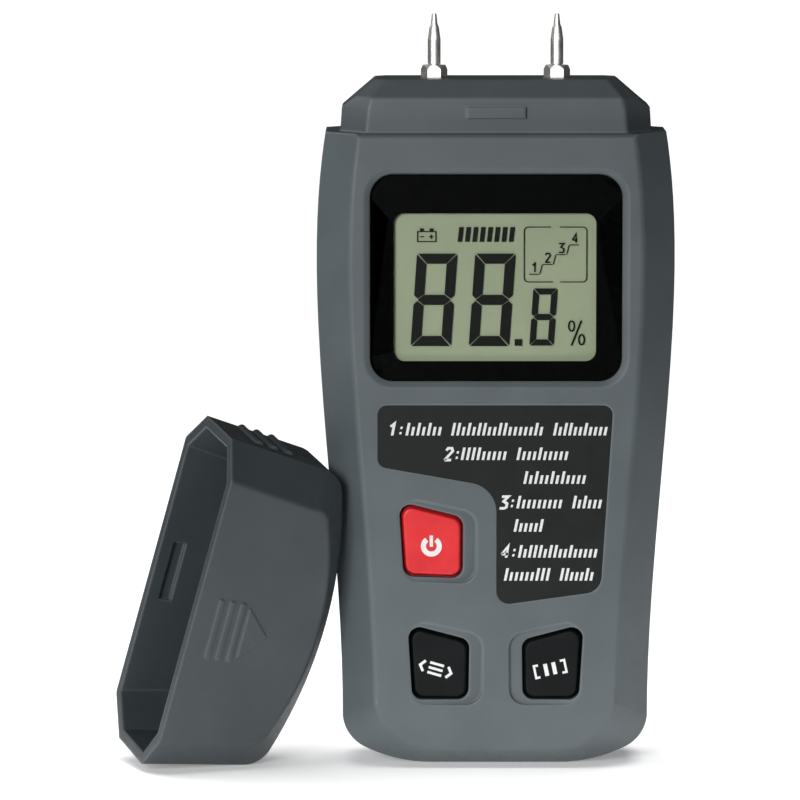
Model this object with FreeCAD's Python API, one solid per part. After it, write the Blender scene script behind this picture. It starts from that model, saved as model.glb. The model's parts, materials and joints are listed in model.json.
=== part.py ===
"""Pocket moisture meter with two probe pins, a window, three keys and a loose probe cap.

Millimetres.  The meter stands on its base face: X to its right, Y from front to back,
Z up to the pins, origin at the middle of the base.  The cap leans on its left side.
"""
import FreeCAD, Part
import math
import os
from FreeCAD import Vector

# ---- body -------------------------------------------------------------------
front_y = -13.5            # front and back faces
back_y = 13.5
side_front_y = -6.0        # the side wall runs between these two, bevels outside
side_back_y = 8.0
front_inset = 6.1          # how far the front bevel runs in from the side
back_inset = 5.0
front_lift = 3.7           # how far it runs up from the base
back_lift = 2.5
shoulder_z = 119.2
base_flat = 12.0           # half width of the flat that it stands on
base_bend = (24.7, 3.0)    # end of the bowed base, start of the cut corner
base_corner = (28.7, 8.8)  # end of the cut corner, start of the side
side_curve = [(29.95, 38.5), (32.6, 72.4), (33.5, 94.8), (33.0, 109.0), (31.8, shoulder_z)]
wall = 2.0
wall_y = 2.2               # wall behind the front face

# ---- collar under the pins --------------------------------------------------
collar_top_z = 129.0
collar_sections = [        # height, half width, front flat half width, half depth, side flat
    (shoulder_z, 29.3, 24.75, 11.3, 5.0),
    (123.8, 28.75, 23.9, 11.15, 4.9),
    (125.7, 26.4, 23.4, 11.1, 7.2),
    (collar_top_z, 22.6, 20.6, 7.7, 5.6),
]
snap_bar = (-5.45, 5.45, 122.0, 124.0)
snap_bar_height = 0.5

# ---- pins -------------------------------------------------------------------
pin_x = 11.5
pin_radius = 1.2
pin_foot_radius = 1.0      # thinner where it sits in its socket and nut
pin_foot_z = 122.0
pin_step_z = 131.5         # just above the nut
pin_point = [(1.2, 136.1), (0.9, 138.3), (0.62, 139.0), (0.45, 140.7), (0.4, 140.9)]
nut_flats = 4.3
nut_height = 2.3
socket_radius = 2.5
socket_foot_z = 114.5
socket_top_z = 128.7
fit_gap = 0.03
body_round = 1.0           # rounding along the edges of the front and back faces
collar_round = 0.7
cap_round = 1.2

# ---- window and display -----------------------------------------------------
lens = [(-23.4, 73.1), (23.4, 73.1), (23.4, 111.6), (-23.4, 111.6)]
lens_corner = 4.3
lens_lip = 1.25            # width of the sloping lip round the window
lens_sunk = 0.35
lens_thick = 0.9
mask_thick = 0.15
view = [(-19.1, 76.75), (18.6, 76.75), (18.6, 104.35), (-19.1, 104.35)]
view_corner = 2.0
glass = (-20.4, 20.0, 75.4, 106.4)
glass_thick = 1.8
frame = (-22.2, 22.0, 73.5, 110.2)

# ---- keys -------------------------------------------------------------------
power_key = [(-16.6, 37.1), (-6.85, 36.7), (-6.78, 46.9), (-17.43, 49.7)]
mode_key = [(-14.95, 13.8), (-5.75, 13.75), (-5.6, 23.8), (-15.75, 26.6)]
key_corner = 1.7
key_draft = 0.45           # how much wider the key is at its skirt
key_gap = 0.25
key_sunk = 0.15
key_skirt_y = -11.9
flange_y = -10.75
flange_wide = 0.7
dish_wide = 2.5            # the sloping dish beside a key, on the side near the middle
dish_deep = 0.9
dish_round = 3.0

# ---- label ------------------------------------------------------------------
label = [(-22.1, 68.6), (21.85, 68.6), (19.6, 33.6), (0.1, 30.9), (0.1, 53.2), (-22.1, 57.1)]
label_round = [1.8, 1.8, 3.2, 2.4, 5.5, 1.8]
label_sunk = 0.25
label_thick = 0.2

# ---- board ------------------------------------------------------------------
board_y = -8.5             # front face of the board
board_thick = 1.2
board = [(-22.0, 12.5), (22.0, 12.5), (22.0, 58.0), (25.0, 62.0), (25.0, 111.0),
         (-25.0, 111.0), (-25.0, 62.0), (-22.0, 58.0)]
board_screws = [(-20.2, 31.3), (20.2, 31.3), (-23.0, 68.0), (23.0, 68.0)]
switch_size = 6.0
switch_thick = 1.9
plunger_radius = 1.6
plunger_gap = 0.06

# ---- housing screws ---------------------------------------------------------
housing_screws = [(-24.2, 114.3), (24.2, 114.3), (-18.4, 9.4), (18.4, 9.4)]
boss_radius = 2.8
shank_radius = 1.1
head_radius = 2.0
head_deep = 1.7

# ---- battery bay and door ---------------------------------------------------
bay = (-13.8, 13.8, 5.4, 62.5)
bay_front_y = -5.9
bay_wall = 0.9
bay_frame_y = 11.2
battery_size = (26.2, 17.1, 48.2)
battery_y = -5.7
battery_z = 7.2
stud_x = 6.35
contact_z = 59.2           # height of the strips from the battery to the board
door = (-15.0, 15.0, 5.9, 63.7)
door_thick = 1.5
hinge_y = 12.4
hinge_z = 5.9
door_edge_radius = 1.0
hinge_pin_radius = 0.6
hinge_pin_long = 1.2
door_gap = 0.3

# ---- cap --------------------------------------------------------------------
cap_half = 32.4
cap_taper = math.radians(8.0)
cap_shoulder = 19.5        # height of its ends, where the rounded corners start
cap_corner = (25.6, 24.6)  # where they meet the arched top
cap_height = 28.6
cap_wall = 1.9
cap_inset = 6.6            # bevels of its two broad faces
cap_top_inset = 3.4
cap_middle = (-60.4, -12.8)  # middle of its rim, X and Y
cap_yaw = 22.9             # the way its closed end points, from +X
cap_dip = 12.0             # and how far that end dips
cap_roll = 11.5            # lean towards the front
ridge_first = 7.1          # from the rim to the first grip ridge
ridge_pitch = 3.15
ridge_count = 3
ridge_radius = 0.9
arrow_x = -2.6             # middle of the raised arrow along the cap
mark_height = 0.3


# ---- helpers ----------------------------------------------------------------
def box(x0, x1, y0, y1, z0, z1):
    return Part.makeBox(x1 - x0, y1 - y0, z1 - z0, Vector(x0, y0, z0))


def rod_x(y, z, radius, x0, x1):
    return Part.makeCylinder(radius, x1 - x0, Vector(x0, y, z), Vector(1, 0, 0))


def rod_y(x, z, radius, y0, y1):
    return Part.makeCylinder(radius, y1 - y0, Vector(x, y0, z), Vector(0, 1, 0))


def rod_z(x, y, radius, z0, z1):
    return Part.makeCylinder(radius, z1 - z0, Vector(x, y, z0), Vector(0, 0, 1))


def rounded_wire(corners, radii, y):
    """Closed outline at y through (x, z) corners, each rounded by its own radius."""
    count = len(corners)
    if not isinstance(radii, list):
        radii = [radii] * count
    points = [Vector(x, y, z) for x, z in corners]
    arcs = []
    for i, corner in enumerate(points):
        back = (points[i - 1] - corner).normalize()
        ahead = (points[(i + 1) % count] - corner).normalize()
        half = back.getAngle(ahead) / 2
        middle = (back + ahead).normalize()
        reach = radii[i] / math.tan(half)
        bulge = middle * (radii[i] / math.sin(half) - radii[i])
        arcs.append((corner + back * reach, corner + bulge, corner + ahead * reach))
    edges = []
    for i, arc in enumerate(arcs):
        edges.append(Part.Arc(*arc).toShape())
        edges.append(Part.makeLine(arc[2], arcs[(i + 1) % count][0]))
    return Part.Wire(edges)


def slab(corners, radii, y0, y1):
    """Rounded outline drawn through from y0 to y1."""
    return Part.Face(rounded_wire(corners, radii, y0)).extrude(Vector(0, y1 - y0, 0))


def frustum(corners0, radii0, y0, corners1, radii1, y1):
    """Solid that changes from one rounded outline to another of as many corners."""
    wires = [rounded_wire(corners0, radii0, y0), rounded_wire(corners1, radii1, y1)]
    return Part.makeLoft(wires, True, True)


def grown(corners, distance):
    """The convex outline with every side moved out by a distance."""
    middle_x = sum(x for x, z in corners) / len(corners)
    middle_z = sum(z for x, z in corners) / len(corners)
    sides = []
    for i, (x0, z0) in enumerate(corners):
        x1, z1 = corners[(i + 1) % len(corners)]
        length = math.hypot(x1 - x0, z1 - z0)
        nx, nz = (z1 - z0) / length, (x0 - x1) / length
        if nx * (x0 - middle_x) + nz * (z0 - middle_z) < 0:
            nx, nz = -nx, -nz
        sides.append((nx, nz, nx * x0 + nz * z0 + distance))
    result = []
    for i in range(len(corners)):
        a, b, c = sides[i - 1]
        d, e, f = sides[i]
        cross = a * e - b * d
        result.append(((c * e - b * f) / cross, (a * f - c * d) / cross))
    return result


def mirrored(corners):
    return [(-x, z) for x, z in corners]


def fused(first, *others):
    shape = first.fuse(list(others))
    return shape.removeSplitter()


def edges_at(shape, axis, values):
    """Edges whose ends all lie at one of the values along x, y or z."""
    found = []
    for edge in shape.Edges:
        places = [getattr(vertex, axis) for vertex in edge.Vertexes]
        if any(all(abs(place - value) < 0.001 for place in places) for value in values):
            found.append(edge)
    return found


def edges_off(shape, axis, value):
    """Edges that don't lie at the value along x, y or z."""
    hidden = [edge.hashCode() for edge in edges_at(shape, axis, [value])]
    return [edge for edge in shape.Edges if edge.hashCode() not in hidden]


# ---- body shells ------------------------------------------------------------
def body_outline(y, inset, lift, top_z):
    """Outline of the body at y: flat and bowed base, cut corners, swelling sides."""
    bend = (base_bend[0] - inset, base_bend[1] + lift)
    corner = (base_corner[0] - inset, base_corner[1] + lift)
    knee = (base_corner[0] - 1.2 - inset, (bend[1] + corner[1]) / 2 - 0.4)
    across = (bend[0] - base_flat) * 0.55
    bow = (bend[0] - base_flat) ** 2 / (2 * base_bend[1]) + base_bend[1] / 2
    sag = bow - math.sqrt(bow ** 2 - across ** 2)
    sides = []
    for sign in (1, -1):
        def at(point):
            return Vector(sign * point[0], y, point[1])
        base = Part.Arc(at((base_flat, lift)), at((base_flat + across, lift + sag)), at(bend))
        cut = Part.Arc(at(bend), at(knee), at(corner))
        side = Part.BSplineCurve()
        knots = [corner] + [(x - inset, z) for x, z in side_curve[:-1]]
        knots.append((side_curve[-1][0] - inset, top_z))
        side.interpolate([at(knot) for knot in knots])
        sides.append([base.toShape(), cut.toShape(), side.toShape()])
    foot = Part.makeLine(Vector(-base_flat, y, lift), Vector(base_flat, y, lift))
    head = Part.makeLine(sides[0][2].Vertexes[-1].Point, sides[1][2].Vertexes[-1].Point)
    left = list(reversed(sides[1]))
    return Part.Wire([foot] + sides[0] + [head] + left)


def body_block(stations, top_z):
    """Solid through body outlines given as (y, inset, lift)."""
    wires = [body_outline(y, inset, lift, top_z) for y, inset, lift in stations]
    parts = [Part.makeLoft(list(pair), True, True) for pair in zip(wires, wires[1:])]
    return fused(*parts)


def collar_wire(z, half_x, flat_x, half_y, flat_y):
    corners = [(flat_x, -half_y), (half_x, -flat_y), (half_x, flat_y), (flat_x, half_y)]
    corners += [(-x, y) for x, y in reversed(corners)]
    points = [Vector(x, y, z) for x, y in corners]
    return Part.makePolygon(points + points[:1])


def collar_block(shrink, foot_z):
    """Collar solid, or the hollow inside it when shrink is the wall."""
    levels = []
    for z, half_x, flat_x, half_y, flat_y in collar_sections:
        drop = shrink * 0.6 if z > shoulder_z else 0
        cut = shrink * 0.9
        levels.append((z - drop, half_x - shrink, flat_x - cut, half_y - shrink, flat_y - cut))
    levels[0] = (foot_z,) + levels[0][1:]
    if shrink:
        levels[-1] = (collar_top_z - shrink,) + levels[-1][1:]
    wires = [collar_wire(*level) for level in levels]
    parts = [Part.makeLoft(list(pair), True, True) for pair in zip(wires, wires[1:])]
    return fused(*parts)


def body_outside():
    stations = [(front_y, front_inset, front_lift), (side_front_y, 0, 0),
                (side_back_y, 0, 0), (back_y, back_inset, back_lift)]
    body = body_block(stations, shoulder_z)
    body = body.makeFillet(body_round, edges_at(body, "Y", [front_y, back_y]))
    collar = collar_block(0, shoulder_z - 4)
    collar = collar.makeFillet(collar_round, edges_off(collar, "Z", shoulder_z - 4))
    return fused(body, collar)


def body_inside():
    top_z = shoulder_z - wall
    stations = [(front_y + wall_y, front_inset + 0.9, front_lift + 1.0),
                (side_front_y + 0.8, wall, wall), (side_back_y - 0.8, wall, wall),
                (back_y - wall, back_inset + 0.9, back_lift + 1.0)]
    return fused(body_block(stations, top_z), collar_block(wall, top_z - 1))


def key_dish(key):
    """Sloping hollow beside a key: nothing at its outer side, deepest near the middle."""
    toward = 1 if key[0][0] < 0 else -1
    wide = grown(key, key_gap + key_draft)
    near = max(wide, key=lambda point: point[0] * toward)[0]
    dish = [(x + toward * dish_wide, z) if abs(x - near) < 2.5 else (x, z) for x, z in wide]
    dish = [(x, z + (0.9 if z > sum(key_z(key)) / 2 else -0.9)) for x, z in dish]
    outer = slab(dish, dish_round, front_y - 1, front_y + 2)
    far = min(wide, key=lambda point: point[0] * toward)[0] - toward * 0.4
    end = near + toward * dish_wide
    low, high = key_z(key)
    corners = [Vector(far, front_y, low - 4), Vector(end, front_y + dish_deep, low - 4),
               Vector(end, front_y - 2, low - 4), Vector(far, front_y - 2, low - 4)]
    wedge = Part.Face(Part.makePolygon(corners + corners[:1]))
    return outer.common(wedge.extrude(Vector(0, 0, high - low + 8)))


def key_z(key):
    heights = [z for x, z in key]
    return min(heights), max(heights)


def front_shell(outside, inside, keys):
    shell = outside.cut(inside)
    shell = shell.common(box(-60, 60, front_y - 5, 0, -5, 160))
    cuts = [frustum(grown(lens, lens_lip), lens_corner + lens_lip, front_y - 0.001,
                    grown(lens, 0.1), lens_corner + 0.1, front_y + lens_sunk + 0.25),
            slab(grown(lens, 0.1), lens_corner + 0.1, front_y,
                 front_y + lens_sunk + lens_thick + mask_thick),
            box(glass[0] + 0.6, glass[1] - 0.6, front_y, 0, glass[2] + 0.6, glass[3] - 0.6),
            slab(label, label_round, front_y - 1, front_y + label_sunk)]
    for key in keys:
        cuts.append(slab(grown(key, key_draft + key_gap), key_corner + 0.4, front_y - 1, 0))
        cuts.append(key_dish(key))
    additions = []
    for x, z in board_screws:
        additions.append(rod_y(x, z, 2.2, front_y + wall_y - 0.2, board_y))
        cuts.append(rod_y(x, z, 0.8, front_y + wall_y + 0.2, board_y + 1))
    for x, z in housing_screws:
        additions.append(rod_y(x, z, boss_radius, front_y + wall_y - 0.2, 0))
        cuts.append(rod_y(x, z, shank_radius - 0.1, -9.0, 1))
    for x in (-pin_x, pin_x):
        additions.append(rod_z(x, 0, socket_radius + 1.4, socket_foot_z + 1, collar_top_z - 1)
                         .common(box(-60, 60, -20, 0, 0, 160)))
        cuts.append(rod_z(x, 0, socket_radius + fit_gap, 100, 150))
    x0, x1, z0, z1 = snap_bar
    additions.append(box(x0, x1, collar_front(z0) - snap_bar_height, -10.5, z0, z1))
    shell = fused(shell, *additions)
    return shell.cut(cuts)


def collar_front(z):
    """Y of the collar's front face at a height between shoulder and bevel."""
    low, high = collar_sections[0], collar_sections[1]
    return -(low[3] + (high[3] - low[3]) * (z - low[0]) / (high[0] - low[0]))


def rear_shell(outside, inside):
    shell = outside.cut(inside)
    shell = shell.common(box(-60, 60, 0, back_y + 5, -5, 160))
    x0, x1, z0, z1 = bay
    tray = box(x0 - bay_wall, x1 + bay_wall, bay_front_y - bay_wall, bay_frame_y,
               z0 - bay_wall, z1 + bay_wall)
    rim = box(x0 - 2.9, x1 + 2.9, bay_frame_y - 1.6, back_y - wall + 0.1,
              z0 - 2.2, z1 + 2.9)
    additions = [tray, rim]
    cuts = [box(x0, x1, bay_front_y, back_y + 2, z0, z1)]
    for x, z in housing_screws:
        additions.append(rod_y(x, z, boss_radius, 0, back_y - wall + 0.2))
        cuts.append(rod_y(x, z, shank_radius + 0.1, -1, back_y + 1))
        cuts.append(rod_y(x, z, head_radius + 0.2, back_y - head_deep - 1.4, back_y + 1))
    for x in (-pin_x, pin_x):
        additions.append(rod_z(x, 0, socket_radius + 1.4, socket_foot_z + 1, collar_top_z - 1)
                         .common(box(-60, 60, 0, 20, 0, 160)))
        cuts.append(rod_z(x, 0, socket_radius + fit_gap, 100, 150))
    shell = fused(shell, *additions)
    dx0, dx1, dz0, dz1 = door
    cuts.append(box(dx0 - door_gap, dx1 + door_gap, bay_frame_y, back_y + 2,
                    hinge_z - 1.35, dz1 + door_gap))
    cuts.append(rod_x(hinge_y, hinge_z, hinge_pin_radius + 0.06,
                      dx0 - hinge_pin_long - 0.2, dx1 + hinge_pin_long + 0.2))
    for x in (-stud_x, stud_x):
        cuts.append(box(x - 1.4, x + 1.4, bay_front_y - 2, bay_front_y + 1,
                        contact_z - 0.5, contact_z + 1.0))
    cuts.append(rod_y(0, dz1 + 5, 6.5, back_y - 0.7, back_y + 1))
    return shell.cut(cuts)


# ---- window and display -----------------------------------------------------
def display_window():
    y0 = front_y + lens_sunk
    return slab(lens, lens_corner, y0, y0 + lens_thick)


def window_mask():
    y0 = front_y + lens_sunk + lens_thick
    ring = slab(lens, lens_corner, y0, y0 + mask_thick)
    return ring.cut(slab(view, view_corner, y0 - 1, y0 + 1))


def lcd_glass():
    x0, x1, z0, z1 = glass
    y0 = front_y + wall_y
    return box(x0, x1, y0, y0 + glass_thick, z0, z1)


def lcd_frame():
    x0, x1, z0, z1 = frame
    gx0, gx1, gz0, gz1 = glass
    y0 = front_y + wall_y
    gap = 0.1
    ring = box(x0, x1, y0, board_y, z0, z1)
    ring = ring.cut(box(gx0 - gap, gx1 + gap, y0 - 1, y0 + glass_thick, gz0 - gap, gz1 + gap))
    hollow = box(gx0 + 1.5, gx1 - 1.5, y0, board_y + 1, gz0 + 4, gz1 - 4)
    slots = [box(gx0 + 1, gx1 - 1, y0, board_y + 1, z, z + 2.2) for z in (gz0 + 0.6, gz1 - 2.8)]
    return ring.cut([hollow] + slots)


def zebra_strips():
    x0, x1, z0, z1 = glass
    y0 = front_y + wall_y + glass_thick
    strips = [box(x0 + 1.1, x1 - 1.1, y0, board_y, z, z + 2) for z in (z0 + 0.7, z1 - 2.7)]
    return Part.makeCompound(strips)


# ---- keys -------------------------------------------------------------------
def key_centre(key):
    return (sum(x for x, z in key) / 4, sum(z for x, z in key) / 4)


def key_cap(key):
    """Drafted cap, with a flange behind the wall that keeps it in."""
    skirt = grown(key, key_draft)
    cap = frustum(key, key_corner, front_y + key_sunk, skirt, key_corner + 0.3, key_skirt_y)
    top_edges = [edge for edge in cap.Edges
                 if all(abs(v.Y - front_y - key_sunk) < 0.01 for v in edge.Vertexes)]
    cap = cap.makeFillet(0.35, top_edges)
    stem = slab(skirt, key_corner + 0.3, key_skirt_y, flange_y)
    flange = slab(grown(skirt, flange_wide), key_corner + 0.8, front_y + wall_y + 0.1, flange_y + 0.1)
    return fused(cap, stem, flange)


def key_plunger(key):
    x, z = key_centre(key)
    return rod_y(x, z, plunger_radius, flange_y + 0.1, board_y - 0.7)


def switch_bodies(keys):
    half = switch_size / 2
    bodies = []
    for key in keys:
        x, z = key_centre(key)
        body = box(x - half, x + half, board_y - switch_thick + 0.5, board_y, z - half, z + half)
        hole = rod_y(x, z, plunger_radius + plunger_gap, board_y - 3, board_y - 0.1)
        bodies.append(body.cut(hole))
    return Part.makeCompound(bodies)


# ---- board and what is on it ------------------------------------------------
def circuit_board():
    plate = Part.makePolygon([Vector(x, board_y, z) for x, z in board + board[:1]])
    plate = Part.Face(plate).extrude(Vector(0, board_thick, 0))
    return plate.cut([rod_y(x, z, 1.1, board_y - 1, board_y + 3) for x, z in board_screws])


def board_chips():
    y0 = board_y + board_thick
    chips = [box(-8, 4, y0, y0 + 1.6, 82, 94), box(9, 14, y0, y0 + 1.5, 86, 92.5),
             box(9, 14, y0, y0 + 1.5, 74, 78)]
    return Part.makeCompound(chips)


def capacitors():
    y0 = board_y + board_thick
    return Part.makeCompound([rod_y(x, 101, 2.5, y0, y0 + 5.5) for x in (-18, -11)])


def buzzer():
    y0 = board_y + board_thick
    body = rod_y(17, 100, 6, y0, y0 + 6)
    return body.cut(rod_y(17, 100, 1, y0 + 4, y0 + 7))


def screw(x, z, head_y, tip_y, shank, head, head_thick):
    """Pan-head screw driven towards -Y with a cross recess."""
    body = fused(rod_y(x, z, shank, tip_y, head_y), rod_y(x, z, head, head_y, head_y + head_thick))
    arm, deep = head * 0.6, head_thick * 0.6
    top = head_y + head_thick
    cross = [box(x - arm, x + arm, top - deep, top + 1, z - 0.25, z + 0.25),
             box(x - 0.25, x + 0.25, top - deep, top + 1, z - arm, z + arm)]
    return body.cut(cross)


def board_screw_group():
    y0 = board_y + board_thick
    return Part.makeCompound([screw(x, z, y0, board_y - 2.2, 0.78, 1.7, 1.1)
                              for x, z in board_screws])


def housing_screw_group():
    y0 = back_y - head_deep - 1.4
    return Part.makeCompound([screw(x, z, y0, -8.5, shank_radius - 0.12, head_radius, 1.4)
                              for x, z in housing_screws])


# ---- pins -------------------------------------------------------------------
def probe_pin(x):
    """Round pin with a thinner foot in its socket and a blunt tapered end."""
    profile = [(0, pin_foot_z), (pin_foot_radius, pin_foot_z), (pin_foot_radius, pin_step_z),
               (pin_radius, pin_step_z)] + pin_point + [(0, pin_point[-1][1])]
    points = [Vector(x + radius, 0, z) for radius, z in profile]
    outline = Part.Face(Part.makePolygon(points + points[:1]))
    return outline.revolve(points[0], Vector(0, 0, 1), 360)


def pin_nut(x):
    radius = nut_flats / 2 / math.cos(math.pi / 6)
    points = [Vector(x + radius * math.cos(a * math.pi / 3), radius * math.sin(a * math.pi / 3),
                     collar_top_z) for a in range(7)]
    nut = Part.Face(Part.makePolygon(points)).extrude(Vector(0, 0, nut_height))
    crown = Part.makeCone(radius + 0.7, radius - 0.35, nut_height, Vector(x, 0, collar_top_z))
    return nut.common(crown).cut(rod_z(x, 0, pin_foot_radius + fit_gap, 120, 140))


def probe_sockets():
    sockets = []
    for x in (-pin_x, pin_x):
        body = rod_z(x, 0, socket_radius, socket_foot_z, socket_top_z)
        sockets.append(body.cut(rod_z(x, 0, pin_foot_radius + fit_gap, pin_foot_z - 0.5, 140)))
    return Part.makeCompound(sockets)


def probe_contacts():
    y1 = board_y + board_thick
    strips = []
    for x in (-pin_x, pin_x):
        pad = box(x - 1.6, x + 1.6, y1, 2.2, socket_foot_z - 0.4, socket_foot_z)
        tab = box(x - 1.6, x + 1.6, y1, y1 + 0.4, 106.5, socket_foot_z)
        strips.append(fused(pad, tab))
    return Part.makeCompound(strips)


# ---- battery and door -------------------------------------------------------
def battery():
    width, depth, height = battery_size
    block = box(-width / 2, width / 2, battery_y, battery_y + depth, battery_z, battery_z + height)
    upright = [edge for edge in block.Edges if abs(edge.Vertexes[0].Z - edge.Vertexes[-1].Z) > 1]
    return block.makeFillet(2.0, upright)


def battery_studs():
    top = battery_z + battery_size[2]
    y = battery_y + battery_size[1] / 2
    male = rod_z(-stud_x, y, 2.8, top, top + 2.6)
    female = rod_z(stud_x, y, 4.0, top, top + 2.4).cut(rod_z(stud_x, y, 2.9, top + 0.6, top + 3))
    return Part.makeCompound([male, female])


def battery_snap():
    top = battery_z + battery_size[2]
    y = battery_y + battery_size[1] / 2
    plate = box(-12.6, 12.6, y - 5, y + 5, top + 2.8, top + 5.2)
    cup = rod_z(-stud_x, y, 4.2, top + 0.3, top + 3).cut(rod_z(-stud_x, y, 3.0, top, top + 2.7))
    plug = rod_z(stud_x, y, 2.6, top + 0.8, top + 3)
    return fused(plate, cup, plug)


def battery_contacts():
    y0 = board_y + board_thick
    y1 = battery_y + battery_size[1] / 2 - 5
    return Part.makeCompound([box(x - 1, x + 1, y0, y1, contact_z, contact_z + 0.5)
                              for x in (-stud_x, stud_x)])


def battery_door():
    x0, x1, z0, z1 = door
    panel = box(x0, x1, back_y - door_thick, back_y, z0, z1)
    edge = rod_x(hinge_y, hinge_z, door_edge_radius, x0, x1)
    pins = rod_x(hinge_y, hinge_z, hinge_pin_radius, x0 - hinge_pin_long, x1 + hinge_pin_long)
    latch = box(-4, 4, 9.0, back_y - door_thick + 0.1, bay[3] - 1.3, bay[3] - 0.4)
    return fused(panel, edge, pins, latch)


def door_pad():
    y1 = back_y - door_thick
    return box(-9, 9, y1 - 0.45, y1, 15, 45)


# ---- cap --------------------------------------------------------------------
def cap_outline(y, side_inset, top_inset, rim_z):
    """Outline of the cap at y, before it is laid down: rim, ends, arched top."""
    def at(x, z):
        return Vector(x, y, z)
    edges = []
    rim_x = cap_half - side_inset
    end_x = cap_half - cap_shoulder * math.tan(cap_taper) - side_inset
    end_z = cap_shoulder - top_inset * 0.6
    arch_x = cap_corner[0] - side_inset * 0.8
    arch_z = cap_corner[1] - top_inset
    knee_x = (end_x + arch_x) / 2 + 0.75
    knee_z = (end_z + arch_z) / 2 + 0.75
    edges.append(Part.makeLine(at(-rim_x, rim_z), at(rim_x, rim_z)))
    edges.append(Part.makeLine(at(rim_x, rim_z), at(end_x, end_z)))
    edges.append(Part.Arc(at(end_x, end_z), at(knee_x, knee_z), at(arch_x, arch_z)).toShape())
    top = cap_height - top_inset
    edges.append(Part.Arc(at(arch_x, arch_z), at(0, top), at(-arch_x, arch_z)).toShape())
    edges.append(Part.Arc(at(-arch_x, arch_z), at(-knee_x, knee_z), at(-end_x, end_z)).toShape())
    edges.append(Part.makeLine(at(-end_x, end_z), at(-rim_x, rim_z)))
    return Part.Wire(edges)


def cap_block(stations, rim_z):
    wires = [cap_outline(y, side, top, rim_z) for y, side, top in stations]
    parts = [Part.makeLoft(list(pair), True, True) for pair in zip(wires, wires[1:])]
    return fused(*parts)


def cap_ridges():
    """Grip ridges across both ends, next to the rim."""
    bars = []
    for i in range(ridge_count):
        z = ridge_first + ridge_pitch * i
        x = cap_half - z * math.tan(cap_taper) - 0.25
        for sign in (-1, 1):
            bars.append(rod_y(sign * x, z, ridge_radius, side_front_y + 0.5, side_back_y - 3))
    return bars


def cap_arrow(y0, y1):
    """Three bars and a triangle that point to the closed end."""
    marks = []
    for i in range(3):
        z = 4.6 + 2.2 * i
        marks.append(box(arrow_x - 5.7, arrow_x + 5.7, y0, y1, z - 0.45, z + 0.45))
    corners = [Vector(arrow_x - 5.0, y0, 10.4), Vector(arrow_x + 5.0, y0, 10.4),
               Vector(arrow_x, y0, 15.2)]
    triangle = Part.Face(Part.makePolygon(corners + corners[:1]))
    marks.append(triangle.extrude(Vector(0, y1 - y0, 0)))
    return marks


def probe_cap():
    outside = cap_block([(front_y, cap_inset, cap_top_inset), (side_front_y, 0, 0),
                         (side_back_y, 0, 0), (back_y, cap_inset, cap_top_inset)], 0)
    faces = edges_at(outside, "Y", [front_y, back_y])
    rim = [edge.hashCode() for edge in edges_at(outside, "Z", [0])]
    faces = [edge for edge in faces if edge.hashCode() not in rim]
    outside = outside.makeFillet(cap_round, faces)
    inside = cap_block([(front_y + cap_wall, cap_inset + 0.9, cap_top_inset + 1.2),
                        (side_front_y + 0.7, cap_wall, cap_wall),
                        (side_back_y - 0.7, cap_wall, cap_wall),
                        (back_y - cap_wall, cap_inset + 0.9, cap_top_inset + 1.2)], -1)
    solid = fused(outside, *cap_ridges())
    solid = fused(solid, *cap_arrow(back_y - 0.1, back_y + mark_height))
    solid = solid.cut(inside).common(box(-60, 60, -30, 30, 0, 60))
    recess = box(snap_bar[0] - 0.3, snap_bar[1] + 0.3, front_y + cap_wall - 0.8, 0, 2.6, 5.0)
    return solid.cut(recess)


def cap_place():
    """Where the loose cap leans, before it is set down on the ground."""
    upright = FreeCAD.Rotation(Vector(1, 0, 1), 180)
    roll = FreeCAD.Rotation(Vector(1, 0, 0), cap_roll)
    dip = FreeCAD.Rotation(Vector(0, 1, 0), cap_dip)
    yaw = FreeCAD.Rotation(Vector(0, 0, 1), cap_yaw)
    turn = yaw.multiply(dip).multiply(roll).multiply(upright)
    return FreeCAD.Placement(Vector(*cap_middle, 0), turn)


def placed_cap():
    cap = probe_cap()
    place = cap_place()
    cap = cap.transformed(place.toMatrix())
    low = cap.optimalBoundingBox(False).ZMin
    return cap.translated(Vector(0, 0, -low))


# ---- the assembly -----------------------------------------------------------
def build():
    hold_key = mirrored(mode_key)
    keys = {"power": power_key, "mode": mode_key, "hold": hold_key}
    outside = body_outside()
    inside = body_inside()
    nodes = {
        "front_shell": front_shell(outside, inside, keys.values()),
        "rear_shell": rear_shell(outside, inside),
        "display_window": display_window(),
        "window_mask": window_mask(),
        "lcd_glass": lcd_glass(),
        "lcd_frame": lcd_frame(),
        "zebra_strips": zebra_strips(),
        "species_label": slab(label, label_round, front_y + label_sunk - label_thick,
                              front_y + label_sunk),
        "circuit_board": circuit_board(),
        "board_chips": board_chips(),
        "capacitors": capacitors(),
        "buzzer": buzzer(),
        "board_screws": board_screw_group(),
        "switch_bodies": switch_bodies(keys.values()),
        "housing_screws": housing_screw_group(),
        "left_probe_pin": probe_pin(-pin_x),
        "right_probe_pin": probe_pin(pin_x),
        "left_pin_nut": pin_nut(-pin_x),
        "right_pin_nut": pin_nut(pin_x),
        "probe_sockets": probe_sockets(),
        "probe_contacts": probe_contacts(),
        "battery": battery(),
        "battery_studs": battery_studs(),
        "battery_snap": battery_snap(),
        "battery_contacts": battery_contacts(),
        "battery_door": battery_door(),
        "door_pad": door_pad(),
        "probe_cap": placed_cap(),
    }
    for name, key in keys.items():
        nodes[name + "_button"] = key_cap(key)
        nodes[name + "_plunger"] = key_plunger(key)
    return nodes


os.makedirs("parts", exist_ok=True)
for node, shape in build().items():
    print(node, shape.isValid(), len(shape.Solids), round(shape.Volume, 1))
    shape.exportStep("parts/" + node + ".step")
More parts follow.
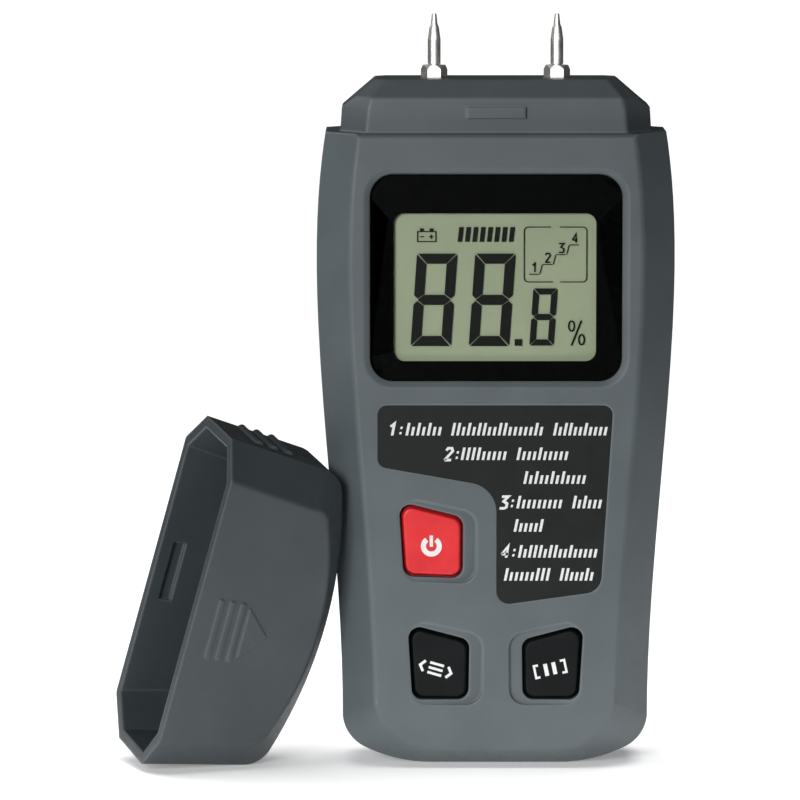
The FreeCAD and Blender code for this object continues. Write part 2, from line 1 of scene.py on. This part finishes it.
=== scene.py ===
"""Looks of the moisture meter: materials, display, printed marks, lights and camera.

Metres in the scene, millimetres in the drawing helpers.  The meter stands on Z = 0 and
faces -Y; the loose cap leans on its left side.
"""
import bpy
import bmesh
import json
import math
import random
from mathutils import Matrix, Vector


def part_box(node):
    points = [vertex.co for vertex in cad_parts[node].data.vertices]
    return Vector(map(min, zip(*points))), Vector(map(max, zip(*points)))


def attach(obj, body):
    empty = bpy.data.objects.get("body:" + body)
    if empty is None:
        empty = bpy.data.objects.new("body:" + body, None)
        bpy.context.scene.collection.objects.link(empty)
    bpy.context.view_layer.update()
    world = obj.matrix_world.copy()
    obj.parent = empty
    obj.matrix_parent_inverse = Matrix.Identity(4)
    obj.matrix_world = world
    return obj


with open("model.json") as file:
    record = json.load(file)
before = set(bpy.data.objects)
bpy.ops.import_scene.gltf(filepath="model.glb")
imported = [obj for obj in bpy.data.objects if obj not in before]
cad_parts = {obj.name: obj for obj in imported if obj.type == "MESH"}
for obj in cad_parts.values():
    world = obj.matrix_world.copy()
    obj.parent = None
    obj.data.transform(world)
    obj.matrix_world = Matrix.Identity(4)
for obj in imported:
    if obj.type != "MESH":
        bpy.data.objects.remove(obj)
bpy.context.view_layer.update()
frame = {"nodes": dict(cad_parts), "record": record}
scene = bpy.context.scene

MM = 0.001
CENTRE = (-0.0179, -0.0135, 0.0696)   # point that the camera looks at
DISTANCE = 1.05
PITCH = math.radians(6.3)
SENSOR = 36.0
SEEN_WIDTH = 0.1490                   # width that fits in the picture at CENTRE


PLATED = ("left_probe_pin", "right_probe_pin", "left_pin_nut", "right_pin_nut")
FLOOR = (-0.25, 0.2, -0.11, 0.5)      # left, right, near and far edge of the paper
BACKDROP = 1.05                       # how bright the world looks to the camera
ROOM_LIGHT = 0.07                     # weak light from all round

INK = 0.04                            # thickness of printed marks, millimetres
FLOAT = 0.25                          # height of the dark segments over the reflector
SLANT = 0.0688                        # lean of the digits, X per Z


# ---- materials --------------------------------------------------------------
def rgb(red, green, blue):
    """Display values from 0 to 255 as a linear colour."""
    linear = []
    for value in (red, green, blue):
        v = value / 255
        linear.append(v / 12.92 if v <= 0.04045 else ((v + 0.055) / 1.055) ** 2.4)
    return tuple(linear) + (1.0,)


class Paint:
    """One Principled material and the nodes that vary it."""

    def __init__(self, name, roughness=0.5, **sockets):
        self.material = bpy.data.materials.new(name)
        self.material.use_nodes = True
        self.tree = self.material.node_tree
        self.shader = self.tree.nodes["Principled BSDF"]
        self.output = self.tree.nodes["Material Output"]
        self.shader.inputs["Roughness"].default_value = roughness
        for key, value in sockets.items():
            self.shader.inputs[key.replace("_", " ")].default_value = value
        self.place = self.tree.nodes.new("ShaderNodeTexCoord").outputs["Object"]
        self.normal = None

    def link(self, source, target):
        self.tree.links.new(source, target)

    def noise(self, size, detail=2.0, rough=0.5):
        """Noise with features of about size millimetres."""
        node = self.tree.nodes.new("ShaderNodeTexNoise")
        node.inputs["Scale"].default_value = 1 / (size * MM)
        node.inputs["Detail"].default_value = detail
        node.inputs["Roughness"].default_value = rough
        self.link(self.place, node.inputs["Vector"])
        return node.outputs["Fac"]

    def cells(self, size):
        node = self.tree.nodes.new("ShaderNodeTexVoronoi")
        node.inputs["Scale"].default_value = 1 / (size * MM)
        self.link(self.place, node.inputs["Vector"])
        return node.outputs["Distance"]

    def ramp(self, value, low, high, first, last):
        """first below low, last above high, mixed between them."""
        node = self.tree.nodes.new("ShaderNodeMapRange")
        node.inputs["From Min"].default_value = low
        node.inputs["From Max"].default_value = high
        node.inputs["To Min"].default_value = first
        node.inputs["To Max"].default_value = last
        self.link(value, node.inputs["Value"])
        return node.outputs["Result"]

    def mix(self, factor, first, second):
        """Colour first where factor is 0, second where it is 1."""
        node = self.tree.nodes.new("ShaderNodeMix")
        node.data_type = "RGBA"
        for socket, value in ((node.inputs[6], first), (node.inputs[7], second)):
            if isinstance(value, tuple):
                socket.default_value = value
            else:
                self.link(value, socket)
        self.link(factor, node.inputs[0])
        return node.outputs[2]

    def soften(self, radius):
        """Rounds sharp edges in the shading, radius in millimetres."""
        node = self.tree.nodes.new("ShaderNodeBevel")
        node.samples = 6
        node.inputs["Radius"].default_value = radius * MM
        self.normal = node.outputs["Normal"]
        return self.normal

    def edges(self):
        """About 1 on rounded edges and 0 on flats, after soften."""
        geometry = self.tree.nodes.new("ShaderNodeNewGeometry")
        dot = self.tree.nodes.new("ShaderNodeVectorMath")
        dot.operation = "DOT_PRODUCT"
        self.link(geometry.outputs["Normal"], dot.inputs[0])
        self.link(self.normal, dot.inputs[1])
        return self.ramp(dot.outputs["Value"], 0.9, 0.995, 1.0, 0.0)

    def bump(self, height, depth, strength=1.0):
        """Adds relief of depth millimetres."""
        node = self.tree.nodes.new("ShaderNodeBump")
        node.inputs["Strength"].default_value = strength
        node.inputs["Distance"].default_value = depth * MM
        self.link(height, node.inputs["Height"])
        if self.normal:
            self.link(self.normal, node.inputs["Normal"])
        self.normal = node.outputs["Normal"]

    def finish(self, colour=None, roughness=None):
        if isinstance(colour, tuple):
            self.shader.inputs["Base Color"].default_value = colour
        elif colour:
            self.link(colour, self.shader.inputs["Base Color"])
        if roughness:
            self.link(roughness, self.shader.inputs["Roughness"])
        if self.normal:
            self.link(self.normal, self.shader.inputs["Normal"])
        return self.material


def moulded_plastic(name, dark, light, edge_highlight, low, high, grain=0.11, depth=0.012, edge=0.7):
    """Spark-textured moulded plastic with a painted highlight that lightens its edges."""
    paint = Paint(name, Specular_IOR_Level=0.45)
    paint.soften(edge)
    edges = paint.edges()
    cloud = paint.noise(14, 3.0)
    body = paint.mix(paint.ramp(cloud, 0.35, 0.65, 0.0, 1.0), dark, light)
    speckle = paint.ramp(paint.noise(0.35, 2.0), 0.62, 0.74, 0.0, 0.25)
    body = paint.mix(speckle, body, light)
    # painted highlight: rounded edges are mixed half way towards the lighter edge colour
    body = paint.mix(paint.ramp(edges, 0.0, 1.0, 0.0, 0.5), body, edge_highlight)
    rough = paint.ramp(paint.noise(2.2, 4.0), 0.3, 0.7, low, high)
    paint.bump(paint.noise(grain, 2.0, 0.6), depth, 0.7)
    paint.bump(paint.noise(0.9, 2.0), 0.01, 0.35)
    return paint.finish(body, rough)


def smooth_plastic(name, dark, light, low, high, edge=0.25, shine=0.5):
    paint = Paint(name, Specular_IOR_Level=shine)
    paint.soften(edge)
    body = paint.mix(paint.ramp(paint.noise(6, 3.0), 0.35, 0.65, 0.0, 1.0), dark, light)
    rough = paint.ramp(paint.noise(1.4, 4.0), 0.3, 0.7, low, high)
    paint.bump(paint.noise(0.5, 2.0), 0.006, 0.5)
    return paint.finish(body, rough)


def metal(name, dark, light, low, high, turned=False):
    """Plated metal; turned adds fine rings round the Z axis."""
    paint = Paint(name, Metallic=1.0)
    paint.soften(0.12)
    stain = paint.ramp(paint.noise(1.8, 4.0), 0.35, 0.7, 0.0, 1.0)
    body = paint.mix(stain, dark, light)
    rough = paint.ramp(paint.noise(0.7, 3.0), 0.3, 0.7, low, high)
    if turned:
        wave = paint.tree.nodes.new("ShaderNodeTexWave")
        wave.bands_direction = "Z"
        wave.inputs["Scale"].default_value = 700.0
        wave.inputs["Distortion"].default_value = 0.6
        paint.link(paint.place, wave.inputs["Vector"])
        paint.bump(wave.outputs["Fac"], 0.0015, 0.3)
    paint.bump(paint.noise(0.25, 2.0), 0.0015, 0.3)
    return paint.finish(body, rough)


def clear_window():
    """Thin acrylic: lets light through and reflects a little."""
    paint = Paint("window_acrylic", roughness=0.06, Specular_IOR_Level=0.5)
    paint.bump(paint.noise(9, 1.0), 0.01, 0.2)
    tree = paint.tree
    clear = tree.nodes.new("ShaderNodeBsdfTransparent")
    clear.inputs["Color"].default_value = (0.97, 0.98, 0.97, 1.0)
    gloss = tree.nodes.new("ShaderNodeBsdfGlossy")
    gloss.inputs["Roughness"].default_value = 0.06
    fresnel = tree.nodes.new("ShaderNodeFresnel")
    fresnel.inputs["IOR"].default_value = 1.1
    paint.link(paint.normal, gloss.inputs["Normal"])
    shader = tree.nodes.new("ShaderNodeMixShader")
    paint.link(fresnel.outputs["Fac"], shader.inputs[0])
    paint.link(clear.outputs["BSDF"], shader.inputs[1])
    paint.link(gloss.outputs["BSDF"], shader.inputs[2])
    paint.link(shader.outputs["Shader"], paint.output.inputs["Surface"])
    return paint.material


def black_print():
    paint = Paint("black_print", Specular_IOR_Level=0.05)
    body = paint.mix(paint.noise(0.8, 2.0), rgb(2, 3, 3), rgb(8, 9, 9))
    return paint.finish(body, paint.ramp(paint.noise(1.5, 2.0), 0.3, 0.7, 0.3, 0.42))


def reflector():
    """Grey-green reflective back of the display."""
    paint = Paint("display_reflector", roughness=0.5, Specular_IOR_Level=0.3)
    fibre = paint.ramp(paint.noise(0.09, 3.0, 0.7), 0.3, 0.7, 0.0, 1.0)
    base = paint.mix(fibre, rgb(156, 165, 139), rgb(172, 180, 152))
    cloud = paint.ramp(paint.noise(16, 2.0), 0.35, 0.65, 0.0, 1.0)
    tint = paint.mix(cloud, rgb(154, 164, 138), rgb(172, 179, 150))
    both = paint.tree.nodes.new("ShaderNodeMix")
    both.data_type = "RGBA"
    both.inputs[0].default_value = 0.5
    paint.link(base, both.inputs[6])
    paint.link(tint, both.inputs[7])
    paint.bump(fibre, 0.01, 0.3)
    return paint.finish(both.outputs[2])


def display_ink():
    paint = Paint("display_ink", Specular_IOR_Level=0.2)
    body = paint.mix(paint.noise(1.2, 2.0), rgb(6, 9, 8), rgb(17, 20, 18))
    return paint.finish(body, paint.ramp(paint.noise(0.6, 2.0), 0.3, 0.7, 0.4, 0.55))


def white_ink(name, base, thin):
    """Printed ink that lets a little of what is below show in places."""
    paint = Paint(name)
    body = paint.mix(paint.ramp(paint.noise(0.3, 3.0), 0.35, 0.75, 0.0, 1.0), base, thin)
    paint.bump(paint.noise(0.2, 2.0), 0.008, 0.4)
    return paint.finish(body, paint.ramp(paint.noise(0.5, 2.0), 0.3, 0.7, 0.35, 0.5))


def label_film():
    """Dark polyester film with a fine velvet texture."""
    paint = Paint("label_film", Specular_IOR_Level=0.25)
    paint.soften(0.15)
    body = paint.mix(paint.ramp(paint.noise(0.25, 3.0), 0.3, 0.7, 0.0, 1.0),
                     rgb(20, 22, 22), rgb(27, 29, 28))
    paint.bump(paint.noise(0.13, 2.0), 0.01, 0.6)
    return paint.finish(body, paint.ramp(paint.noise(3, 3.0), 0.3, 0.7, 0.42, 0.55))


def board_green():
    paint = Paint("board_laminate")
    traces = paint.tree.nodes.new("ShaderNodeTexBrick")
    traces.inputs["Scale"].default_value = 260.0
    traces.inputs["Mortar Size"].default_value = 0.012
    traces.inputs["Color1"].default_value = rgb(22, 84, 52)
    traces.inputs["Color2"].default_value = rgb(18, 72, 46)
    traces.inputs["Mortar"].default_value = rgb(34, 112, 70)
    turn = paint.tree.nodes.new("ShaderNodeMapping")
    turn.inputs["Rotation"].default_value = (math.pi / 2, 0, 0)
    paint.link(paint.place, turn.inputs["Vector"])
    paint.link(turn.outputs["Vector"], traces.inputs["Vector"])
    paint.bump(traces.outputs["Fac"], 0.03, 0.5)
    rough = paint.ramp(paint.noise(2, 2), 0.3, 0.7, 0.3, 0.42)
    return paint.finish(traces.outputs["Color"], rough)


def foam():
    paint = Paint("foam")
    pores = paint.cells(0.7)
    body = paint.mix(paint.ramp(pores, 0.1, 0.6, 0.0, 1.0), rgb(20, 21, 22), rgb(52, 54, 56))
    paint.bump(pores, 0.3, 0.8)
    return paint.finish(body, paint.ramp(pores, 0.0, 0.6, 0.95, 0.8))


def rubber_strip():
    """Layered conductive rubber: fine stripes along X."""
    paint = Paint("rubber_strip")
    wave = paint.tree.nodes.new("ShaderNodeTexWave")
    wave.bands_direction = "X"
    wave.inputs["Scale"].default_value = 900.0
    paint.link(paint.place, wave.inputs["Vector"])
    body = paint.mix(wave.outputs["Fac"], rgb(225, 224, 218), rgb(30, 30, 32))
    return paint.finish(body, paint.ramp(wave.outputs["Fac"], 0, 1, 0.6, 0.75))


def battery_jacket():
    """Printed can: a dark sleeve with a plain copper band at the top."""
    paint = Paint("battery_jacket", Metallic=0.35)
    split = paint.tree.nodes.new("ShaderNodeSeparateXYZ")
    paint.link(paint.place, split.inputs["Vector"])
    band = paint.ramp(split.outputs["Z"], 0.0402, 0.0404, 0.0, 1.0)
    dark = paint.mix(paint.noise(3, 3), rgb(24, 25, 28), rgb(36, 37, 40))
    body = paint.mix(band, dark, rgb(176, 106, 52))
    paint.bump(paint.noise(4, 3), 0.05, 0.2)
    return paint.finish(body, paint.ramp(paint.noise(1, 3), 0.3, 0.7, 0.28, 0.4))


def floor_white():
    """Paper that glows a little, so that its lit part is white and shadows stay soft."""
    paint = Paint("floor_paper", roughness=0.65)
    body = paint.mix(paint.noise(300, 2), rgb(246, 246, 247), rgb(250, 250, 250))
    paint.shader.inputs["Emission Color"].default_value = (1, 1, 1, 1)
    paint.shader.inputs["Emission Strength"].default_value = 0.22
    return paint.finish(body)


def make_finishes():
    """Material for each material slot of the record."""
    # the third colour of each set is the painted highlight for the edges
    grey = rgb(84, 92, 95), rgb(90, 98, 101), rgb(132, 140, 144)
    cap = rgb(54, 61, 64), rgb(59, 66, 69), rgb(104, 111, 115)
    return {
        "housing": moulded_plastic("housing_plastic", *grey, 0.42, 0.52),
        "cap_plastic": moulded_plastic("cap_plastic", *cap, 0.4, 0.5),
        "window": clear_window(),
        "black_print": black_print(),
        "display": reflector(),
        "inner_plastic": smooth_plastic("inner_plastic", rgb(52, 54, 56), rgb(64, 66, 68),
                                        0.5, 0.6),
        "rubber_strip": rubber_strip(),
        "label_film": label_film(),
        "board": board_green(),
        "chip": smooth_plastic("chip_resin", rgb(24, 24, 26), rgb(33, 33, 36), 0.5, 0.65),
        "can": metal("capacitor_can", rgb(150, 152, 156), rgb(190, 191, 195), 0.25, 0.4),
        "steel": metal("screw_steel", rgb(120, 121, 124), rgb(160, 161, 164), 0.3, 0.45),
        "nickel": metal("nickel_plate", rgb(196, 194, 190), rgb(222, 220, 216), 0.36, 0.46,
                        turned=True),
        "brass": metal("brass", rgb(178, 140, 74), rgb(206, 170, 100), 0.25, 0.4),
        "battery_jacket": battery_jacket(),
        "foam": foam(),
        "red_key": smooth_plastic("red_key", rgb(214, 34, 40), rgb(226, 44, 48), 0.34, 0.44),
        "black_key": smooth_plastic("black_key", rgb(9, 11, 12), rgb(14, 16, 18), 0.42, 0.55,
                                    shine=0.15),
        "plunger": smooth_plastic("plunger", rgb(196, 192, 182), rgb(208, 204, 196), 0.4, 0.5),
    }


def dress_nodes():
    """Gives every CAD node the finish of its material slot."""
    finishes = make_finishes()
    for part in frame["record"]["subparts"]:
        materials = frame["nodes"][part["node"]].data.materials
        materials.clear()
        materials.append(finishes[part["material_slot"]])


# ---- flat marks -------------------------------------------------------------
def flat_piece(name, outlines, place, body, material, turn=0.0, lean=0.0):
    """Thin closed prisms, one for each (x, z) outline in millimetres round place."""
    cosine, sine = math.cos(math.radians(turn)), math.sin(math.radians(turn))
    mesh = bmesh.new()
    for outline in outlines:
        corners = []
        for x, z in outline:
            x += lean * z
            across, up = x * cosine - z * sine, x * sine + z * cosine
            corners.append(mesh.verts.new(Vector(place) + Vector((across, 0, up)) * MM))
        face = mesh.faces.new(corners)
        raised = bmesh.ops.extrude_face_region(mesh, geom=[face])
        moved = [v for v in raised["geom"] if isinstance(v, bmesh.types.BMVert)]
        bmesh.ops.translate(mesh, vec=Vector((0, -INK * MM, 0)), verts=moved)
    bmesh.ops.recalc_face_normals(mesh, faces=mesh.faces)
    data = bpy.data.meshes.new(name)
    mesh.to_mesh(data)
    mesh.free()
    data.materials.append(material)
    piece = bpy.data.objects.new(name, data)
    scene.collection.objects.link(piece)
    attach(piece, body)
    return piece


def front_of(node, across=0.0, up=0.0, out=0.0):
    """Point on a node's front face, millimetres from the middle of its box."""
    low, high = (Vector(corner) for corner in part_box(node))
    middle = (low + high) / 2
    return (middle.x + across * MM, low.y - out * MM, middle.z + up * MM)


def bar(x0, z0, x1, z1):
    return [(x0, z0), (x1, z0), (x1, z1), (x0, z1)]


def arc(x, z, radius, start, end, count, stretch=1.0):
    points = []
    for i in range(count + 1):
        angle = math.radians(start + (end - start) * i / count)
        points.append((x + radius * math.cos(angle), z + radius * stretch * math.sin(angle)))
    return points


def stroke(points, width):
    """Outline of a mitred line of the given width through points."""
    runs = []
    for (xa, za), (xb, zb) in zip(points, points[1:]):
        length = math.hypot(xb - xa, zb - za)
        runs.append(((xb - xa) / length, (zb - za) / length))
    left, right = [], []
    for i, (x, z) in enumerate(points):
        before, after = runs[max(i - 1, 0)], runs[min(i, len(runs) - 1)]
        nx, nz = -(before[1] + after[1]), before[0] + after[0]
        length = math.hypot(nx, nz)
        nx, nz = nx / length, nz / length
        reach = width / 2 / max(0.4, nz * before[0] - nx * before[1])
        left.append((x + nx * reach, z + nz * reach))
        right.append((x - nx * reach, z - nz * reach))
    return left + right[::-1]


def moved(outlines, across, up):
    return [[(x + across, z + up) for x, z in outline] for outline in outlines]


# ---- display ----------------------------------------------------------------
def digit(width, height, thick, gap):
    """The seven segments of an 8."""
    w, h, t, g = width / 2, height / 2, thick, gap / 2
    k = t / 2
    segments = [[(-w + g + k * 0.6, 0), (-w + t, k), (w - t, k),
                 (w - g - k * 0.6, 0), (w - t, -k), (-w + t, -k)]]
    for sz in (1, -1):
        segments.append([(-w + 2 * g, sz * h), (w - 2 * g, sz * h),
                         (w - t - g, sz * (h - t)), (-w + t + g, sz * (h - t))])
        for sx in (1, -1):
            segments.append([(sx * w, sz * (h - 2 * g - 0.1)), (sx * w, sz * (g + k * 0.8)),
                             (sx * (w - k * 0.7), sz * (g + 0.1)),
                             (sx * (w - t), sz * (k + g + 0.05)),
                             (sx * (w - t), sz * (h - t - g)), (sx * (w - g), sz * (h - 2 * g))])
    return segments


def leaning(outlines):
    return [[(x + SLANT * z, z) for x, z in outline] for outline in outlines]


def display_digits():
    outlines = []
    for across in (-11.37, -0.54):
        outlines += moved(leaning(digit(7.55, 17.3, 1.9, 0.22)), across, -2.75)
    outlines += moved(leaning(digit(4.55, 10.7, 1.15, 0.16)), 9.03, -5.95)
    outlines.append(bar(3.65, -11.35, 5.05, -10.1))
    return outlines


def percent_sign():
    outlines = [stroke([(14.25, -11.3), (16.1, -6.6)], 0.34)]
    for x, z in ((14.25, -7.65), (16.13, -10.2)):
        for start in (90, -90):
            outlines.append(stroke(arc(x, z, 0.52, start, start + 180, 10, 1.8), 0.3))
    return outlines


def battery_icon():
    x0, x1, z0, z1, line = -14.55, -10.95, 8.05, 10.1, 0.2
    outlines = [bar(x0, z0, x1, z0 + line), bar(x0, z1 - line, x1, z1),
                bar(x0, z0, x0 + line, z1), bar(x1 - line, z0, x1, z1),
                bar(x0 + 0.55, z1, x0 + 1.25, z1 + 0.5), bar(x1 - 1.25, z1, x1 - 0.55, z1 + 0.5),
                bar(x0 + 0.55, z0 + 0.9, x0 + 1.35, z0 + 1.1),
                bar(x1 - 1.35, z0 + 0.9, x1 - 0.55, z0 + 1.1),
                bar(x1 - 1.05, z0 + 0.6, x1 - 0.85, z0 + 1.4)]
    return outlines


def level_bars():
    """Leaning blocks that show the level beside the battery."""
    outlines = []
    for i in range(8):
        x = -7.0 + i * 1.36
        outlines.append([(x, 8.1), (x + 0.85, 8.1), (x + 1.15, 10.85), (x + 0.3, 10.85)])
    return outlines


def numeral(value, size, width):
    """Small numeral drawn with lines, its lower left at the origin."""
    w, h = size * 0.55, size
    lines = {
        1: [[(w * 0.1, h * 0.75), (w * 0.6, h), (w * 0.6, 0)]],
        2: [[(0, h * 0.8), (w * 0.2, h), (w * 0.8, h), (w, h * 0.75), (0, 0)], [(0, 0), (w, 0)]],
        3: [[(0, h), (w, h), (w * 0.4, h * 0.6), (w, h * 0.4), (w, h * 0.1),
             (w * 0.7, 0), (0, 0)]],
        4: [[(w * 0.75, 0), (w * 0.75, h), (0, h * 0.3)], [(0, h * 0.3), (w, h * 0.3)]],
    }[value]
    return [stroke(line, width) for line in lines]


def group_box():
    """Open frame with four numbered steps that rise to the right."""
    x0, x1, z0, z1, r, line = 5.4, 17.05, 0.6, 10.85, 0.75, 0.19
    outlines = [stroke([(x0 + 5.0, z1)] + arc(x0 + r, z1 - r, r, 90, 180, 5)
                       + arc(x0 + r, z0 + r, r, 180, 270, 5) + [(x0 + 5.4, z0)], line),
                stroke([(x0 + 6.6, z1)] + arc(x1 - r, z1 - r, r, 90, 0, 5)
                       + arc(x1 - r, z0 + r, r, 0, -90, 5) + [(x0 + 6.7, z0)], line)]
    for i in range(4):
        x, z = 6.55 + 2.5 * i, 2.45 + 1.83 * i
        outlines += moved(numeral(i + 1, 1.65, 0.28), x + 0.3, z)
        outlines.append(bar(x - 0.2, z - 0.5, x + 1.55, z - 0.32))
        if i < 3:
            outlines.append(stroke([(x + 1.75, z - 0.4), (x + 2.2, z + 1.35)], 0.18))
    return outlines


def make_display():
    ink = display_ink()
    place = front_of("lcd_glass", out=FLOAT)
    flat_piece("display_digits", display_digits(), place, "meter", ink)
    marks = percent_sign() + battery_icon() + level_bars() + group_box()
    flat_piece("display_marks", marks, place, "meter", ink)


# ---- printed marks ----------------------------------------------------------
ROWS = [  # foot below the label's top edge, where its group number is, its words
    (5.65, 2.0, [(5.2, 11.7), (13.7, 30.6), (32.7, 42.6)]),
    (10.26, 12.5, [(15.5, 23.8), (25.9, 35.3)]),
    (14.73, None, [(27.2, 38.6)]),
    (19.34, 22.8, [(25.9, 34.2), (36.3, 41.6)]),
    (23.74, None, [(25.4, 30.6)]),
    (28.62, 23.1, [(26.2, 40.8)]),
    (32.97, None, [(23.6, 31.9), (34.0, 40.1)]),
]


def word(x0, x1, size, source):
    """Ticks of mixed height from x0 to x1, which stand for a word."""
    width = 0.5
    count = round((x1 - x0 + 0.4) / 0.95)
    ticks = []
    for i in range(count):
        x = x0 + (x1 - x0 - width) * i / (count - 1)
        tall = size if i == 0 or source.random() < 0.25 else size * 0.68
        ticks.append(bar(x, 0, x + width, tall))
    return ticks


def label_marks():
    """Four numbered groups of word-like ticks: no real lettering."""
    source = random.Random(7)
    outlines = []
    group = 0
    for drop, number_at, words in ROWS:
        row = []
        if number_at:
            group += 1
            row += moved(numeral(group, 2.2, 0.5), number_at, 0)
            row += [bar(number_at + 2.0, z, number_at + 2.4, z + 0.45) for z in (0.2, 1.2)]
        for x0, x1 in words:
            row += word(x0, x1, 2.35, source)
        outlines += [[(x + 0.2 * z, z - drop) for x, z in outline] for outline in row]
    return outlines


def make_label():
    low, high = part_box("species_label")
    ink = white_ink("label_ink", rgb(236, 238, 236), rgb(210, 213, 211))
    place = (low[0], low[1], high[2])
    flat_piece("label_marks", label_marks(), place, "meter", ink)


def power_mark():
    ring = stroke(arc(0, 0, 1.48, 125, 415, 40), 0.95)
    return [ring, stroke([(0, -0.1), (0, 2.0)], 0.62)]


def mode_mark():
    outlines = [bar(-1.35, z - 0.24, 1.35, z + 0.24) for z in (-0.95, 0, 0.95)]
    for side in (-1, 1):
        outlines.append(stroke([(side * 2.2, 1.05), (side * 3.0, 0), (side * 2.2, -1.05)], 0.5))
    return outlines


def hold_mark():
    outlines = [bar(-1.15, -1.15, -0.4, 1.15), bar(0.4, -1.15, 1.15, 1.15)]
    for side in (-1, 1):
        outlines.append(stroke([(side * 2.1, 1.15), (side * 2.9, 1.15), (side * 2.9, -1.15),
                                (side * 2.1, -1.15)], 0.42))
    return outlines


def make_key_marks():
    ink = white_ink("key_ink", rgb(240, 242, 240), rgb(216, 219, 218))
    flat_piece("power_mark", power_mark(), front_of("power_button", 0.0, -0.9), "power_key",
               ink)
    flat_piece("mode_mark", mode_mark(), front_of("mode_button", -0.6, -1.05), "mode_key",
               ink, turn=-16)
    flat_piece("hold_mark", hold_mark(), front_of("hold_button", -0.4, -1.05), "hold_key",
               ink, turn=12)


# ---- surroundings -----------------------------------------------------------
def make_floor():
    """White paper just large enough for the shadows; the world is white beyond it."""
    data = bpy.data.meshes.new("floor")
    left, right, near, far = FLOOR
    corners = [(left, near, 0), (right, near, 0), (right, far, 0), (left, far, 0)]
    data.from_pydata(corners, [], [(0, 1, 2, 3)])
    data.materials.append(floor_white())
    floor = bpy.data.objects.new("floor", data)
    scene.collection.objects.link(floor)
    return floor


def area_light(name, place, size, watts, colour=(1, 1, 1)):
    """Square soft light aimed at the middle of the object."""
    data = bpy.data.lights.new(name, "AREA")
    data.size = size
    data.energy = watts
    data.color = colour
    light = bpy.data.objects.new(name, data)
    scene.collection.objects.link(light)
    light.location = place
    aim = Vector(CENTRE) - Vector(place)
    light.rotation_euler = aim.to_track_quat("-Z", "Y").to_euler()
    return light


def light_only(light, objects):
    """Limits what the light falls on."""
    lit = bpy.data.collections.new("lit_by_" + light.name)
    for item in objects:
        lit.objects.link(item)
    light.light_linking.receiver_collection = lit


def make_lights(floor):
    """Key lamp, edge lamp, and one each that only the floor or the plated metal gets."""
    area_light("key", (-0.34, -0.78, 0.26), 0.3, 5.2)
    area_light("rim", (-0.7, 0.3, 0.5), 0.5, 1.2)
    ceiling = area_light("ceiling", (0, 0.1, 1.6), 1.6, 36)
    light_only(ceiling, [floor])
    metal_light = area_light("metal_light", (-0.1, -0.9, 0.5), 1.1, 12)
    light_only(metal_light, [frame["nodes"][name] for name in PLATED])
    make_world()


def make_world():
    """Weak light from all round that looks white to the camera."""
    world = bpy.data.worlds.new("room")
    world.use_nodes = True
    tree = world.node_tree
    seen = tree.nodes.new("ShaderNodeLightPath").outputs["Is Camera Ray"]
    strength = tree.nodes.new("ShaderNodeMapRange")
    strength.inputs["To Min"].default_value = ROOM_LIGHT
    strength.inputs["To Max"].default_value = BACKDROP
    tree.links.new(seen, strength.inputs["Value"])
    background = tree.nodes["Background"]
    background.inputs["Color"].default_value = (1, 1, 1, 1)
    tree.links.new(strength.outputs["Result"], background.inputs["Strength"])
    scene.world = world


def make_camera():
    data = bpy.data.cameras.new("camera")
    data.sensor_width = SENSOR
    data.lens = SENSOR * DISTANCE / SEEN_WIDTH
    data.clip_start = 0.01
    data.clip_end = 50
    camera = bpy.data.objects.new("camera", data)
    scene.collection.objects.link(camera)
    back = Vector((0, -math.cos(PITCH), math.sin(PITCH)))
    camera.location = Vector(CENTRE) + back * DISTANCE
    camera.rotation_euler = (-back).to_track_quat("-Z", "Y").to_euler()
    scene.camera = camera


scene.view_settings.view_transform = "Standard"
make_camera()
make_lights(make_floor())
dress_nodes()
make_display()
make_label()
make_key_marks()

bpy.context.view_layer.update()
